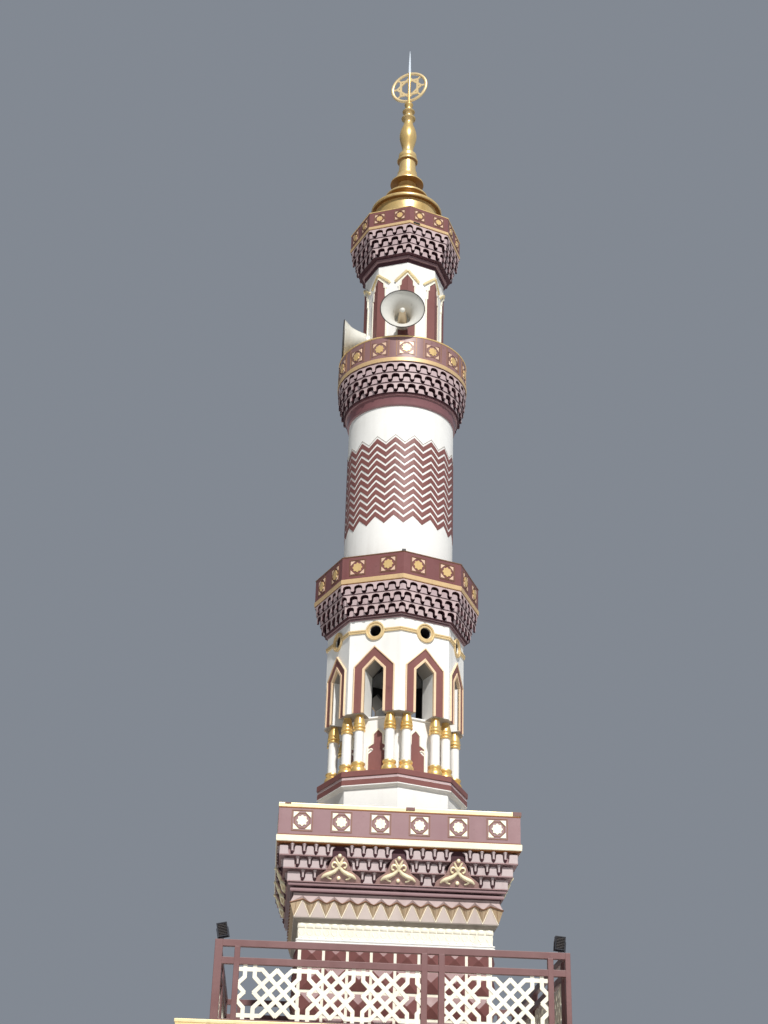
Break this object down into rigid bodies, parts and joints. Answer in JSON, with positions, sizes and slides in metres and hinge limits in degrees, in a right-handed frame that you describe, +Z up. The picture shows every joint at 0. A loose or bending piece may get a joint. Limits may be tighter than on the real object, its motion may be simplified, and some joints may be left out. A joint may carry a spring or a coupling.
{
  "type": "minaret",
  "caption": "Slender mosque minaret with a square balcony, open colonnade, octagonal window storey, round drum, corbelled balconies, gilded dome and finial, and a railed terrace base.",
  "frame": {"origin": "middle of the base's underside, on the ground", "axes": "+Z up, -Y towards the front with the doorway and the front horn loudspeaker, +X to the right seen from the front"},
  "size_m": [4.1, 4.1, 17.996],
  "materials": {
    "mauve_paint": "painted",
    "white_paint": "painted",
    "cream_paint": "painted",
    "pink_paint": "painted",
    "gilding": "gilded",
    "railing_paint": "satin",
    "horn_enamel": "satin",
    "lamp_black": "satin",
    "plaster": "matte"
  },
  "bodies": {
    "root": {"base_floor": "plaster", "base_wall_rear": "plaster", "base_wall_front": "plaster", "terrace_slab": "cream_paint", "railing_front": "railing_paint", "railing_right": "railing_paint", "railing_back": "railing_paint", "railing_left": "railing_paint", "lamp_left": "lamp_black", "lamp_right": "lamp_black", "tile_shaft": "mauve_paint", "carved_frieze": "cream_paint", "folded_course": "pink_paint", "square_corbel": "mauve_paint", "square_parapet": "mauve_paint", "octagon_plinth": "white_paint", "niche_core": "white_paint", "column_pair_1": "white_paint", "column_pair_2": "white_paint", "column_pair_3": "white_paint", "column_pair_4": "white_paint", "column_pair_5": "white_paint", "column_pair_6": "white_paint", "column_pair_7": "white_paint", "column_pair_8": "white_paint", "window_panel_1": "white_paint", "window_panel_2": "white_paint", "window_panel_3": "white_paint", "window_panel_4": "white_paint", "window_panel_5": "white_paint", "window_panel_6": "white_paint", "window_panel_7": "white_paint", "window_panel_8": "white_paint", "lower_corbel": "mauve_paint", "lower_parapet": "mauve_paint", "drum": "white_paint", "round_corbel": "mauve_paint", "round_parapet": "mauve_paint", "top_shaft": "white_paint", "top_corbel": "mauve_paint", "top_parapet": "mauve_paint", "dome": "gilding", "finial": "gilding", "emblem": "gilding", "horn_front": "horn_enamel", "horn_left": "horn_enamel"}
  },
  "joints": []
}
